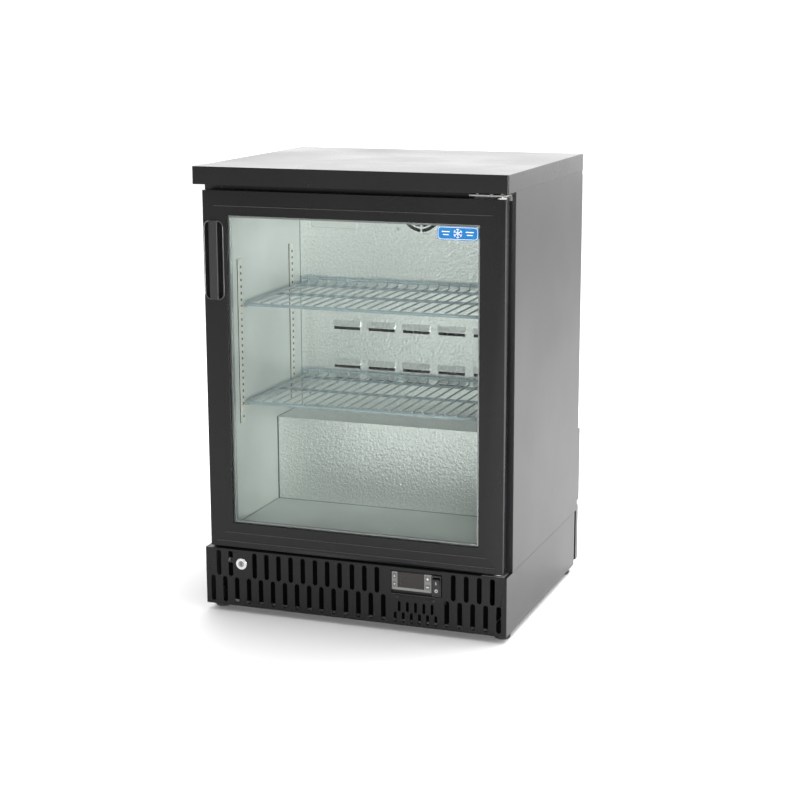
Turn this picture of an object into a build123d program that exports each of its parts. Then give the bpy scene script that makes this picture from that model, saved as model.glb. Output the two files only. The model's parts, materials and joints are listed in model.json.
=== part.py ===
"""Undercounter refrigerator: a foamed back-bar cooler with one glazed, hinged door.

Frame: millimetres, X to the right seen from the front, Y to the back, Z up.
Origin: bottom centre of the whole object, on the floor under its feet.
"""
import os

from build123d import *

# ---------------------------------------------------------------- driving dimensions
WIDTH = 600.0
DEPTH = 520.0
HEIGHT = 845.0

FLOOR_GAP = 13.0            # underside of the base above the floor
BASE_TOP = 124.0            # joint between base and foamed body
WORKTOP_THICKNESS = 32.5
SHEET = 1.0                 # thickness of the folded steel skins
LINER = 1.0                 # thickness of the liner sheets

BODY_HALF_WIDTH = 299.0
BODY_FRONT = -211.5
BODY_BACK = 240.0
BASE_FRONT = -247.4

CAVITY_HALF_WIDTH = 258.0
CAVITY_FLOOR = 159.0
CAVITY_CEILING = 778.0
CAVITY_BACK = 200.0
STEP_FRONT = 4.0            # step over the compressor compartment
STEP_TOP = 327.0
STEP_WALL = 36.0            # foam between step and compartment
COVER_FRONT = 129.0         # front face of the evaporator cover

DOOR_HALF_WIDTH = 289.3
DOOR_BOTTOM = 127.3
DOOR_TOP = 800.6
DOOR_FRONT = -241.7
DOOR_BACK = -220.0
GLASS_OPENING_HALF = 243.0
GLASS_OPENING_BOTTOM = 174.0
GLASS_OPENING_TOP = 755.5
PANE = 4.0                  # glass thickness

HINGE_X = 279.5
HINGE_Y = -230.0
PIN_RADIUS = 4.0
RUNNING_CLEARANCE = 0.05    # radial, between a turning pin and its hole

LOCK_X = -224.3
LOCK_Z = 97.2

SHELF_HEIGHTS = {"shelf_lower": 394.0, "shelf_upper": 583.0}
SHELF_FRONT = -157.0
SHELF_BACK = 117.0
SHELF_RAIL_X = 249.5
SHELF_WIRE_PITCH = 21.5
CLIP_ROWS = (-160.0, 80.0)  # Y of the front and rear shelf supports

EVAPORATOR_FAN = (2.5, 733.0)    # X, Z of the fan behind the cover
CONDENSER_FAN = (140.0, 128.0)   # Y, Z of the fan in the compartment
DUCT = (232.0, 165.0)            # X, Y of the pipe duct through the step

# ---------------------------------------------------------------- derived values
WORKTOP_BOTTOM = HEIGHT - WORKTOP_THICKNESS
FRONT = -DEPTH / 2
BACK = DEPTH / 2
BODY_INNER = BODY_HALF_WIDTH - SHEET
COMPARTMENT_FRONT = STEP_FRONT + STEP_WALL
COMPARTMENT_TOP = STEP_TOP - STEP_WALL - LINER
BREAKER = 6.0               # width of the thermal breaker strip round the opening
BREAKER_BACK = BODY_FRONT + 6.5


# ---------------------------------------------------------------- helpers
def block(x, y, z):
    """Box between the given (low, high) pairs."""
    size = [pair[1] - pair[0] for pair in (x, y, z)]
    centre = [(pair[1] + pair[0]) / 2 for pair in (x, y, z)]
    return Pos(*centre) * Box(*size)


def rod_x(radius, x, y, z):
    """Cylinder along X between the pair x."""
    return Pos((x[0] + x[1]) / 2, y, z) * Rot(0, 90, 0) * Cylinder(radius, x[1] - x[0])


def rod_y(radius, x, y, z):
    """Cylinder along Y between the pair y."""
    return Pos(x, (y[0] + y[1]) / 2, z) * Rot(90, 0, 0) * Cylinder(radius, y[1] - y[0])


def rod_z(radius, x, y, z):
    """Cylinder along Z between the pair z."""
    return Pos(x, y, (z[0] + z[1]) / 2) * Cylinder(radius, z[1] - z[0])


def slab_xz(face, y):
    """Extrude a sketch drawn in X and Z through the pair y, front to back."""
    plane = Plane(origin=(0, y[1], 0), x_dir=(1, 0, 0), z_dir=(0, -1, 0))
    return extrude(plane * face, amount=y[1] - y[0])


def prism_yz(points, x):
    """Extrude a polygon of (y, z) points through the pair x."""
    plane = Plane(origin=(x[0], 0, 0), x_dir=(0, 1, 0), z_dir=(1, 0, 0))
    return extrude(plane * make_face(Polyline(*points, close=True)), amount=x[1] - x[0])


def prism_xy(points, z):
    """Extrude a polygon of (x, y) points through the pair z."""
    return extrude(Pos(0, 0, z[0]) * make_face(Polyline(*points, close=True)), amount=z[1] - z[0])


def prism_xz(points, y):
    """Extrude a polygon of (x, z) points through the pair y."""
    return slab_xz(make_face(Polyline(*points, close=True)), y)


def upright_slot(x, z, width):
    """Round-ended vertical slot sketch, centred on x and spanning the pair z."""
    return Pos(x, (z[0] + z[1]) / 2) * Rot(0, 0, 90) * SlotOverall(z[1] - z[0], width)


def mirrored(shape):
    """The shape's twin on the other side of the centre plane."""
    return mirror(shape, about=Plane.YZ)


def save(name, *solids):
    """Write one sub-part, with each of its pieces as a solid of its own."""
    pieces = [piece for shape in solids for piece in shape.solids()]
    shape = pieces[0] if len(pieces) == 1 else Compound(children=pieces)
    shape.label = name
    export_step(shape, f"parts/{name}.step")


# ---------------------------------------------------------------- worktop and outer shell
def worktop():
    """Steel cap folded down on all four sides over a board core."""
    skin = 1.2
    outer = block((-WIDTH / 2, WIDTH / 2), (FRONT, BODY_BACK), (WORKTOP_BOTTOM, HEIGHT))
    outer = fillet(outer.edges().filter_by(Axis.Z), 2.5)
    outer = fillet(outer.faces().sort_by(Axis.Z)[-1].edges(), 1.5)
    core_x = (-WIDTH / 2 + skin, WIDTH / 2 - skin)
    core_y = (FRONT + skin, BODY_BACK - skin)
    core = block(core_x, core_y, (WORKTOP_BOTTOM, HEIGHT - skin))
    core = fillet(core.edges().filter_by(Axis.Z), 1.5)
    save("worktop", outer - core)
    save("worktop_core", core)


def side_panels():
    """Outer side skins, each folded in behind the door and at the back."""
    outer, inner = BODY_HALF_WIDTH, BODY_INNER
    front_return = CAVITY_HALF_WIDTH + BREAKER
    back_return = 278.0
    outline = [
        (outer, BODY_FRONT), (front_return, BODY_FRONT), (front_return, BODY_FRONT + SHEET),
        (inner, BODY_FRONT + SHEET), (inner, BODY_BACK - SHEET), (back_return, BODY_BACK - SHEET),
        (back_return, BODY_BACK), (outer, BODY_BACK),
    ]
    right = prism_xy(outline, (BASE_TOP, WORKTOP_BOTTOM))
    save("side_panel_right", right)
    save("side_panel_left", mirrored(right))


def top_and_bottom_panels():
    """Sheets that close the foamed body above and below."""
    half = CAVITY_HALF_WIDTH + BREAKER
    lip_top = CAVITY_CEILING + BREAKER
    plate = block(
        (-BODY_INNER, BODY_INNER), (BODY_FRONT + SHEET, BODY_BACK - SHEET),
        (WORKTOP_BOTTOM - SHEET, WORKTOP_BOTTOM),
    )
    lip = block((-half, half), (BODY_FRONT, BODY_FRONT + SHEET), (lip_top, WORKTOP_BOTTOM))
    save("top_panel", plate + lip)

    lip_bottom = CAVITY_FLOOR - BREAKER
    front_fold = BODY_FRONT + SHEET
    outline = [
        (front_fold, BASE_TOP), (COMPARTMENT_FRONT, BASE_TOP), (COMPARTMENT_FRONT, COMPARTMENT_TOP),
        (BODY_BACK - SHEET, COMPARTMENT_TOP), (BODY_BACK - SHEET, COMPARTMENT_TOP + SHEET),
        (COMPARTMENT_FRONT - SHEET, COMPARTMENT_TOP + SHEET), (COMPARTMENT_FRONT - SHEET, BASE_TOP + SHEET),
        (front_fold, BASE_TOP + SHEET),
    ]
    folded = prism_yz(outline, (-BODY_INNER, BODY_INNER))
    lip = block((-half, half), (BODY_FRONT, front_fold), (BASE_TOP, lip_bottom))
    save("bottom_panel", folded + lip - pipe_duct())


def back_panel():
    """Flat sheet behind the foam, above the compressor compartment."""
    save("back_panel", block(
        (-278.0, 278.0), (BODY_BACK - SHEET, BODY_BACK), (COMPARTMENT_TOP, WORKTOP_BOTTOM - SHEET),
    ))


def pipe_duct():
    """Round passage for the refrigerant pipes through the step."""
    return rod_z(12.0, DUCT[0], DUCT[1], (COMPARTMENT_TOP - 5, STEP_TOP + 5))


def insulation():
    """Foam that fills the space between the skins and the liner."""
    body = block(
        (-BODY_INNER, BODY_INNER), (BODY_FRONT + SHEET, BODY_BACK - SHEET),
        (BASE_TOP + SHEET, WORKTOP_BOTTOM - SHEET),
    )
    skin_half = CAVITY_HALF_WIDTH + LINER
    cavity_y = (BODY_FRONT, CAVITY_BACK + LINER)
    upper = block((-skin_half, skin_half), cavity_y, (STEP_TOP - LINER, CAVITY_CEILING + LINER))
    lower = block(
        (-skin_half, skin_half), (BODY_FRONT, STEP_FRONT + LINER), (CAVITY_FLOOR - LINER, STEP_TOP),
    )
    compartment = block(
        (-WIDTH, WIDTH), (COMPARTMENT_FRONT - SHEET, WIDTH), (0, COMPARTMENT_TOP + SHEET),
    )
    half = CAVITY_HALF_WIDTH + BREAKER
    breaker = block(
        (-half, half), (BODY_FRONT, BREAKER_BACK),
        (CAVITY_FLOOR - BREAKER, CAVITY_CEILING + BREAKER),
    )
    save("insulation_foam", body - upper - lower - compartment - breaker - pipe_duct())


# ---------------------------------------------------------------- liner
def liner():
    """Smooth side, back, ceiling and floor sheets, and the embossed step."""
    half = CAVITY_HALF_WIDTH
    front = BREAKER_BACK
    side_outline = [
        (front, CAVITY_FLOOR - LINER), (STEP_FRONT + LINER, CAVITY_FLOOR - LINER),
        (STEP_FRONT + LINER, STEP_TOP - LINER), (CAVITY_BACK + LINER, STEP_TOP - LINER),
        (CAVITY_BACK + LINER, CAVITY_CEILING + LINER), (front, CAVITY_CEILING + LINER),
    ]
    right = prism_yz(side_outline, (half, half + LINER))
    rear = block((-half, half), (CAVITY_BACK, CAVITY_BACK + LINER), (STEP_TOP, CAVITY_CEILING + LINER))
    ceiling = block((-half, half), (front, CAVITY_BACK), (CAVITY_CEILING, CAVITY_CEILING + LINER))
    floor = block((-half, half), (front, STEP_FRONT + LINER), (CAVITY_FLOOR - LINER, CAVITY_FLOOR))
    save("liner_panels", right, mirrored(right), rear, ceiling, floor)

    step_outline = [
        (STEP_FRONT, CAVITY_FLOOR), (STEP_FRONT + LINER, CAVITY_FLOOR),
        (STEP_FRONT + LINER, STEP_TOP - LINER), (CAVITY_BACK + LINER, STEP_TOP - LINER),
        (CAVITY_BACK + LINER, STEP_TOP), (STEP_FRONT, STEP_TOP),
    ]
    save("liner_step", prism_yz(step_outline, (-half, half)) - pipe_duct())


def breaker_frame():
    """Plastic thermal breaker strips between the skin and the liner."""
    inner, outer = CAVITY_HALF_WIDTH, CAVITY_HALF_WIDTH + BREAKER
    low, high = CAVITY_FLOOR, CAVITY_CEILING
    y = (BODY_FRONT, BREAKER_BACK)
    upright = prism_xz([
        (inner, low), (outer, low - BREAKER), (outer, high + BREAKER), (inner, high),
    ], y)
    head = prism_xz([(-inner, high), (inner, high), (outer, high + BREAKER), (-outer, high + BREAKER)], y)
    sill = prism_xz([(-inner, low), (inner, low), (outer, low - BREAKER), (-outer, low - BREAKER)], y)
    save("breaker_frame", upright, mirrored(upright), head, sill)


# ---------------------------------------------------------------- evaporator side
LOUVRE_WIDTH = 58.5
LOUVRE_PITCH = 74.4
LOUVRE_COLUMNS = 5
LOUVRE_FIRST_X = -156.8
LOUVRE_ROWS = (383.0, 409.0, 488.0)
LOUVRE_SLOT = 7.0
LOUVRE_HOOD = 11.0
LOUVRE_REACH = 5.0
GRILLE_RADIUS = 41.0
GRILLE_PITCH = 10.0
GRILLE_SLOT = 6.5
GRILLE_SPOKE = 4.5


def louvre_positions():
    """Lower centre of every louvre slot in the evaporator cover."""
    return [
        (LOUVRE_FIRST_X + column * LOUVRE_PITCH, z)
        for z in LOUVRE_ROWS for column in range(LOUVRE_COLUMNS)
    ]


def louvre_hood(x, z):
    """Pressed hood above a slot: a leaning sheet with two cheeks."""
    front = COVER_FRONT - LOUVRE_REACH
    low, high = z + LOUVRE_SLOT, z + LOUVRE_SLOT + LOUVRE_HOOD
    half = LOUVRE_WIDTH / 2
    sheet = prism_yz([
        (COVER_FRONT + LINER, high), (COVER_FRONT, high + 1), (front, low + 1), (front, low),
        (front + 1, low),
    ], (x - half, x + half))
    cheek = [(COVER_FRONT + LINER, high), (front, low), (COVER_FRONT + LINER, low)]
    left = prism_yz(cheek, (x - half, x - half + 1))
    right = prism_yz(cheek, (x + half - 1, x + half))
    return [sheet, left, right]


def fan_grille():
    """Rings of slots, parted by a cross of spokes."""
    x, z = EVAPORATOR_FAN
    rings = Sketch()
    radius = GRILLE_RADIUS
    while radius > GRILLE_SLOT:
        rings += Pos(x, z) * (Circle(radius) - Circle(radius - GRILLE_SLOT))
        radius -= GRILLE_PITCH
    for angle in (0, 90):
        rings -= Pos(x, z) * Rot(0, 0, angle) * Rectangle(GRILLE_SPOKE, 2.2 * GRILLE_RADIUS)
    return rings


def evaporator_cover():
    """Embossed cover sheet with louvres, a fan grille and folded side flanges."""
    half = CAVITY_HALF_WIDTH - 0.5
    low, high = STEP_TOP + 0.5, CAVITY_CEILING - 0.5
    face = Pos(0, (low + high) / 2) * Rectangle(2 * half, high - low)
    for x, z in louvre_positions():
        opening = LOUVRE_SLOT + LOUVRE_HOOD - 0.5
        face -= Pos(x, z + opening / 2) * Rectangle(LOUVRE_WIDTH - 2, opening)
    face -= fan_grille()
    cover = slab_xz(face, (COVER_FRONT, COVER_FRONT + LINER))
    flange = block((half - LINER, half), (COVER_FRONT, COVER_FRONT + 14), (low, high))
    hoods = [piece for x, z in louvre_positions() for piece in louvre_hood(x, z)]
    save("evaporator_cover", cover.fuse(flange, mirrored(flange), *hoods))


def evaporator_coil():
    """Finned evaporator: end plates, fins and straight tube passes."""
    low, high = 345.0, 640.0
    y = (140.0, 186.0)
    plates = []
    fin_count, fin_pitch = 23, 18.0
    for index in range(fin_count):
        x = (index - (fin_count - 1) / 2) * fin_pitch
        thickness = 2.0 if index in (0, fin_count - 1) else 0.8
        plates.append(block((x - thickness / 2, x + thickness / 2), y, (low, high)))
    reach = (fin_count - 1) / 2 * fin_pitch + 8
    tubes = [rod_x(4.8, (-reach, reach), 163.0, low + 25 + 49 * row) for row in range(6)]
    save("evaporator_coil", tubes[0].fuse(*tubes[1:], *plates))


def drip_tray():
    """Tray under the evaporator, with a drain spout."""
    low = STEP_TOP + 1
    tray = block((-215, 215), (134, 196), (low, low + 14))
    tray -= block((-213.5, 213.5), (135.5, 194.5), (low + 1.5, low + 20))
    save("drip_tray", tray - rod_z(5.0, -150, 165, (low - 1, low + 3)))


def fan_rotor(radius, hub_radius, depth, shaft_length):
    """Axial fan along +Z: hub, five pitched blades and a shaft behind the hub."""
    blades = []
    span = radius - hub_radius + 2
    for index in range(5):
        blade = Pos(hub_radius - 2 + span / 2, 0, depth / 2) * Rot(32, 0, 0) * Box(span, radius * 0.62, 1.4)
        blades.append(Rot(0, 0, 72 * index) * blade)
    hub = Pos(0, 0, depth / 2) * Cylinder(hub_radius, depth)
    shaft = Pos(0, 0, depth + shaft_length / 2 - 1) * Cylinder(1.5, shaft_length + 2)
    rotor = hub.fuse(*blades)
    return (rotor & Pos(0, 0, depth / 2) * Cylinder(radius, depth)) + shaft


def fan_motor(radius, length, arm_reach, arm_length):
    """Motor along +Z from its front face, on three arms that reach forwards."""
    body = Pos(0, 0, length / 2) * Cylinder(radius, length)
    arms = []
    for index in range(3):
        turn = Rot(0, 0, 120 * index + 30)
        arms.append(turn * Pos((radius + arm_reach) / 2, 0, 3) * Box(arm_reach - radius + 4, 6, 3))
        arms.append(turn * Pos(arm_reach, 0, 4.5 - arm_length / 2) * Box(4, 6, arm_length))
    return body.fuse(*arms) - Pos(0, 0, 6) * Cylinder(1.5 + RUNNING_CLEARANCE, 24)


def evaporator_fan():
    """Fan and motor behind the grille of the evaporator cover."""
    x, z = EVAPORATOR_FAN
    rotor_front = COVER_FRONT + LINER + 6
    along_y = Rot(-90, 0, 0)
    rotor = fan_rotor(36.0, 11.0, 12.0, 12.0)
    save("evaporator_fan", Pos(x, rotor_front, z) * along_y * rotor)
    motor_front = rotor_front + 16
    arm = motor_front + 4.5 - (COVER_FRONT + LINER)
    motor = fan_motor(20.0, 26.0, 40.0, arm)
    save("evaporator_fan_motor", Pos(x, motor_front, z) * along_y * motor)


def interior_lamp():
    """Shallow lamp housing on the evaporator cover."""
    body = block((-228, -131), (COVER_FRONT - 12, COVER_FRONT), (694, 726))
    body = fillet(body.faces().sort_by(Axis.Y)[0].edges(), 3)
    save("interior_lamp", body)


# ---------------------------------------------------------------- shelves and supports
PILASTER_WIDTH = 14.0
PILASTER_DEPTH = 3.0
PILASTER_Z = (350.0, 665.0)
PILASTER_PITCH = 12.5
WIRE_RADIUS = 1.8
RAIL_RADIUS = 3.1


def pilaster(y):
    """Slotted channel on the right wall."""
    inner = CAVITY_HALF_WIDTH - PILASTER_DEPTH
    strip = block((inner, CAVITY_HALF_WIDTH), (y - PILASTER_WIDTH / 2, y + PILASTER_WIDTH / 2), PILASTER_Z)
    groove = block((inner + 1, CAVITY_HALF_WIDTH), (y - PILASTER_WIDTH / 2 + 1, y + PILASTER_WIDTH / 2 - 1),
                   PILASTER_Z)
    count = int((PILASTER_Z[1] - PILASTER_Z[0]) / PILASTER_PITCH) - 1
    slots = []
    for index in range(count):
        z = PILASTER_Z[0] + PILASTER_PITCH * (index + 1)
        slots.append(block((inner - 1, inner + 2), (y - 3.5, y + 3.5), (z - 1.8, z + 1.8)))
    return strip - groove - slots


def pilasters():
    """Four slotted channels that carry the shelf clips."""
    strips = [pilaster(y) for y in CLIP_ROWS]
    save("shelf_pilasters", *strips, *[mirrored(strip) for strip in strips])


def shelf_clips():
    """Eight bent clips, each a ledge on a leaning strut."""
    wall = CAVITY_HALF_WIDTH - PILASTER_DEPTH
    reach = wall - 13
    clips = []
    for shelf_z in SHELF_HEIGHTS.values():
        ledge_top = shelf_z - 2 * RAIL_RADIUS - WIRE_RADIUS + 0.2
        for y in CLIP_ROWS:
            outline = [
                (wall, ledge_top), (reach, ledge_top), (reach, ledge_top - 1.6),
                (wall - 3.2, ledge_top - 1.6), (wall - 1.6, ledge_top - 13), (wall, ledge_top - 13),
            ]
            clips.append(prism_xz(outline, (y - 7, y + 7)))
    save("shelf_clips", *clips, *[mirrored(clip) for clip in clips])


def bent_wire(points, bend, radius):
    """Round wire through points, with tangent arcs at the corners."""
    path = FilletPolyline(*points, radius=bend)
    section = Plane(origin=path @ 0, z_dir=path % 0) * Circle(radius)
    return sweep(section, path=path)


def shelf(name, height):
    """Coated wire shelf: close wires front to back on welded cross rails."""
    rail_z = height - RAIL_RADIUS - WIRE_RADIUS + 0.8
    upper_z = height + 8.0
    count = int(2 * (SHELF_RAIL_X - 8) / SHELF_WIRE_PITCH)
    wires = []
    for index in range(count + 1):
        x = (index - count / 2) * SHELF_WIRE_PITCH
        route = [(x, SHELF_FRONT, height), (x, SHELF_BACK, height), (x, SHELF_BACK, height + 12)]
        wires.append(bent_wire(route, 4.0, WIRE_RADIUS))
    rim = bent_wire([
        (-SHELF_RAIL_X, SHELF_BACK, rail_z), (-SHELF_RAIL_X, SHELF_FRONT, rail_z),
        (SHELF_RAIL_X, SHELF_FRONT, rail_z), (SHELF_RAIL_X, SHELF_BACK, rail_z),
    ], 9.0, RAIL_RADIUS)
    span = (-SHELF_RAIL_X, SHELF_RAIL_X)
    rails = [rod_x(RAIL_RADIUS - 0.4, span, y, rail_z) for y in (-15.0, SHELF_BACK - 14)]
    rails.append(rod_x(RAIL_RADIUS - 0.6, (-SHELF_RAIL_X - 2, SHELF_RAIL_X + 2), SHELF_BACK + 3.6, upper_z))
    for x in (-SHELF_RAIL_X, SHELF_RAIL_X):
        rails.append(rod_z(RAIL_RADIUS - 0.9, x, SHELF_BACK - 1, (rail_z, upper_z + 4)))
    save(name, rim.fuse(*rails, *wires))


# ---------------------------------------------------------------- door
HANDLE_X = (-288.3, -248.2)
HANDLE_Z = (599.0, 746.0)
HANDLE_FLOOR = -226.0
HANDLE_WALL = 1.2
HANDLE_CORNER = 13.0
GRIP_HALF_WIDTH = 8.6
GRIP_FRONT = -245.4
GRIP_THICKNESS = 6.0
GLASS_EDGE_X = GLASS_OPENING_HALF + 3.5
GLASS_EDGE_Z = (GLASS_OPENING_BOTTOM - 8, GLASS_OPENING_TOP + 8)
GLASS_FRONT = DOOR_FRONT + 2.2
GLASS_BACK = DOOR_BACK - 3.0


def handle_outline(inset):
    """Rounded outline of the handle's tray, moved in by inset."""
    width = HANDLE_X[1] - HANDLE_X[0] - 2 * inset
    height = HANDLE_Z[1] - HANDLE_Z[0] - 2 * inset
    centre = Pos((HANDLE_X[0] + HANDLE_X[1]) / 2, (HANDLE_Z[0] + HANDLE_Z[1]) / 2)
    return centre * RectangleRounded(width, height, HANDLE_CORNER - inset)


def door_frame():
    """Four mitred extrusions with a glazing groove; rails carry raised beads."""
    outer, inner = DOOR_HALF_WIDTH, GLASS_OPENING_HALF
    low, high = GLASS_OPENING_BOTTOM, GLASS_OPENING_TOP
    y = (DOOR_FRONT, DOOR_BACK)
    groove = block((-GLASS_EDGE_X, GLASS_EDGE_X), (GLASS_FRONT, GLASS_BACK), GLASS_EDGE_Z)
    stile = prism_xz([(inner, low), (outer, DOOR_BOTTOM), (outer, DOOR_TOP), (inner, high)], y) - groove
    left = mirrored(stile) - slab_xz(handle_outline(0), (DOOR_FRONT, HANDLE_FLOOR))
    top = prism_xz([(-inner, high), (inner, high), (outer, DOOR_TOP), (-outer, DOOR_TOP)], y) - groove
    bottom = prism_xz([(-inner, low), (inner, low), (outer, DOOR_BOTTOM), (-outer, DOOR_BOTTOM)], y) - groove

    bead = 0.7
    bead_y = (DOOR_FRONT - 0.5, DOOR_FRONT + 0.5)
    top += block((-266, 266), bead_y, (773 - bead, 773 + bead))
    for z, half in ((156, 258), (138.5, 276)):
        bottom += block((-half, half), bead_y, (z - bead, z + bead))

    socket_top = rod_z(7.0, HINGE_X, HINGE_Y, (DOOR_TOP - 14, DOOR_TOP + 1))
    socket_bottom = rod_z(7.0, HINGE_X, HINGE_Y, (DOOR_BOTTOM - 1, DOOR_BOTTOM + 14))
    sockets = socket_top + socket_bottom
    keeper = block((LOCK_X - 28, LOCK_X + 12), (-233.5, -226.5), (DOOR_BOTTOM - 1, DOOR_BOTTOM + 11))
    save("door_frame", left, stile - sockets, top - sockets, bottom - sockets - keeper)


def glazing():
    """Two panes with a hollow spacer bar between them."""
    x = (-GLASS_EDGE_X, GLASS_EDGE_X)
    save("glass_outer", block(x, (GLASS_FRONT, GLASS_FRONT + PANE), GLASS_EDGE_Z))
    save("glass_inner", block(x, (GLASS_BACK - PANE, GLASS_BACK), GLASS_EDGE_Z))
    gap = (GLASS_FRONT + PANE, GLASS_BACK - PANE)
    ring = block(x, gap, GLASS_EDGE_Z)
    bar = 8.0
    ring -= block((x[0] + bar, x[1] - bar), gap, (GLASS_EDGE_Z[0] + bar + 4, GLASS_EDGE_Z[1] - bar - 4))
    save("glass_spacer", ring)


def door_gasket():
    """Magnetic bellows gasket, one ring on the back of the door."""
    half_width, low, high = 275.0, 142.0, 795.0
    centre = Pos(0, (low + high) / 2)
    outer = centre * RectangleRounded(2 * half_width, high - low, 8)
    inner = centre * RectangleRounded(2 * half_width - 30, high - low - 30, 3)
    root = slab_xz(outer - inner, (DOOR_BACK, DOOR_BACK + 4.0))
    outer_lip = centre * RectangleRounded(2 * half_width - 4, high - low - 4, 7)
    inner_lip = centre * RectangleRounded(2 * half_width - 26, high - low - 26, 3)
    lip = slab_xz(outer_lip - inner_lip, (DOOR_BACK + 4.0, BODY_FRONT - 0.3))
    save("door_gasket", root + lip)


def handle():
    """Moulded recess with a grip bar that bridges it from top to bottom."""
    lip_front = DOOR_FRONT - 0.8
    tray = slab_xz(handle_outline(0), (lip_front, HANDLE_FLOOR))
    tray -= slab_xz(handle_outline(HANDLE_WALL), (lip_front, HANDLE_FLOOR - HANDLE_WALL))
    centre_x = (HANDLE_X[0] + HANDLE_X[1]) / 2
    bar = block(
        (centre_x - GRIP_HALF_WIDTH, centre_x + GRIP_HALF_WIDTH),
        (GRIP_FRONT, GRIP_FRONT + GRIP_THICKNESS), (HANDLE_Z[0] + 0.3, HANDLE_Z[1] - 0.3),
    )
    bar = fillet(bar.edges().filter_by(Axis.Z), 1.8)
    posts = []
    for z in ((HANDLE_Z[0] + 0.2, HANDLE_Z[0] + 7), (HANDLE_Z[1] - 7, HANDLE_Z[1] - 0.2)):
        posts.append(block(
            (centre_x - GRIP_HALF_WIDTH + 1, centre_x + GRIP_HALF_WIDTH - 1),
            (GRIP_FRONT + 2, HANDLE_FLOOR), z,
        ))
    save("handle", tray.fuse(bar, *posts))


# ---------------------------------------------------------------- hinges
TOP_PLATE_Z = (806.0, 809.0)
BOTTOM_PLATE_Z = (BASE_TOP - 3, BASE_TOP)
BUSH_FLANGE = 2.4


def hinges():
    """Plates on the body, fixed pins and the plain bushes in the door."""
    top = block((224, 292), (-246, BODY_FRONT), TOP_PLATE_Z)
    top += block((224, 292), (BODY_FRONT - 3, BODY_FRONT), (796.5, TOP_PLATE_Z[1]))
    bottom = block((250, 292), (-243, -160), BOTTOM_PLATE_Z)
    save("hinge_plates", top - pin_hole(), bottom - pin_hole())

    top_pin = rod_z(PIN_RADIUS, HINGE_X, HINGE_Y, (DOOR_TOP - 12, TOP_PLATE_Z[1]))
    top_pin += rod_z(6.0, HINGE_X, HINGE_Y, (TOP_PLATE_Z[1], TOP_PLATE_Z[1] + 2.5))
    bottom_pin = rod_z(PIN_RADIUS, HINGE_X, HINGE_Y, (BOTTOM_PLATE_Z[0], DOOR_BOTTOM + 12))
    bottom_pin += rod_z(6.0, HINGE_X, HINGE_Y, (BOTTOM_PLATE_Z[0] - 2.5, BOTTOM_PLATE_Z[0]))
    save("hinge_pins", top_pin, bottom_pin)

    bore = rod_z(PIN_RADIUS + RUNNING_CLEARANCE, HINGE_X, HINGE_Y, (0, HEIGHT))
    top_bush = rod_z(7.0, HINGE_X, HINGE_Y, (DOOR_TOP - 14, DOOR_TOP))
    top_bush += rod_z(8.0, HINGE_X, HINGE_Y, (DOOR_TOP, DOOR_TOP + BUSH_FLANGE))
    bottom_bush = rod_z(7.0, HINGE_X, HINGE_Y, (DOOR_BOTTOM, DOOR_BOTTOM + 14))
    bottom_bush += rod_z(8.0, HINGE_X, HINGE_Y, (DOOR_BOTTOM - BUSH_FLANGE, DOOR_BOTTOM))
    save("hinge_bushes", top_bush - bore, bottom_bush - bore)


def pin_hole():
    """Hole in which a fixed hinge pin is held."""
    return rod_z(PIN_RADIUS, HINGE_X, HINGE_Y, (0, HEIGHT))


# ---------------------------------------------------------------- base
GRILLE_HALF = 297.5
BASE_SHEET = 1.2
SLOT_PITCH = 24.72
SLOT_WIDTH = 9.3
UPPER_SLOT_Z = (70.5, 120.0)
LOWER_SLOT_Z = (19.0, 69.0)
CONTROL_CUTOUT = ((77.5, 176.0), (73.5, 117.5))
CONTROL_SCREWS = ((89.5, 67.7), (159.5, 66.0))
CONTROL_PLATE_Y = (-241.4, -240.2)


def grille_slots():
    """All slot sketches of the base front: two staggered rows and a small field."""
    slots = []
    for step in [*range(1, 3), *range(4, 15), *range(20, 24)]:
        slots.append(upright_slot(SLOT_PITCH * (step - 12), UPPER_SLOT_Z, SLOT_WIDTH))
    for step in [*range(15), *range(19, 24)]:
        slots.append(upright_slot(SLOT_PITCH * (step - 11.5), LOWER_SLOT_Z, SLOT_WIDTH))
    for index in range(5):
        slots.append(upright_slot(93 + 16 * index, (39.6, 59.0), 5.5))
    for index in range(6):
        slots.append(upright_slot(85 + 15.85 * index, (18.0, 38.0), 5.5))
    return slots


def base_front_grille():
    """Slotted front plate, folded back at the top and bottom."""
    low, high = FLOOR_GAP, BASE_TOP - 0.2
    face = Pos(0, (low + high) / 2) * Rectangle(2 * GRILLE_HALF, high - low)
    face -= grille_slots()
    cut_x, cut_z = CONTROL_CUTOUT
    face -= Pos((cut_x[0] + cut_x[1]) / 2, (cut_z[0] + cut_z[1]) / 2) * Rectangle(
        cut_x[1] - cut_x[0], cut_z[1] - cut_z[0])
    face -= Pos(LOCK_X, LOCK_Z) * Circle(9.5)
    for x, z in CONTROL_SCREWS:
        face -= Pos(x, z) * Circle(2.0)
    plate = slab_xz(face, (BASE_FRONT, BASE_FRONT + BASE_SHEET))
    x = (-GRILLE_HALF, GRILLE_HALF)
    top = block(x, (BASE_FRONT, -213.0), (high - BASE_SHEET, high))
    top -= block((248, 294), (-245, -212), (BASE_TOP - 10, BASE_TOP + 5))
    top -= block((LOCK_X - 33, LOCK_X + 14), (-234, -226), (BASE_TOP - 10, BASE_TOP + 5))
    bottom = block(x, (BASE_FRONT, -228.0), (low, low + BASE_SHEET))
    save("base_front_grille", plate.fuse(top, bottom))


FOOT_X = 281.0
FOOT_ROWS = {"front": -212.0, "rear": 196.0}
STUD_RADIUS = 4.0


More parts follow.
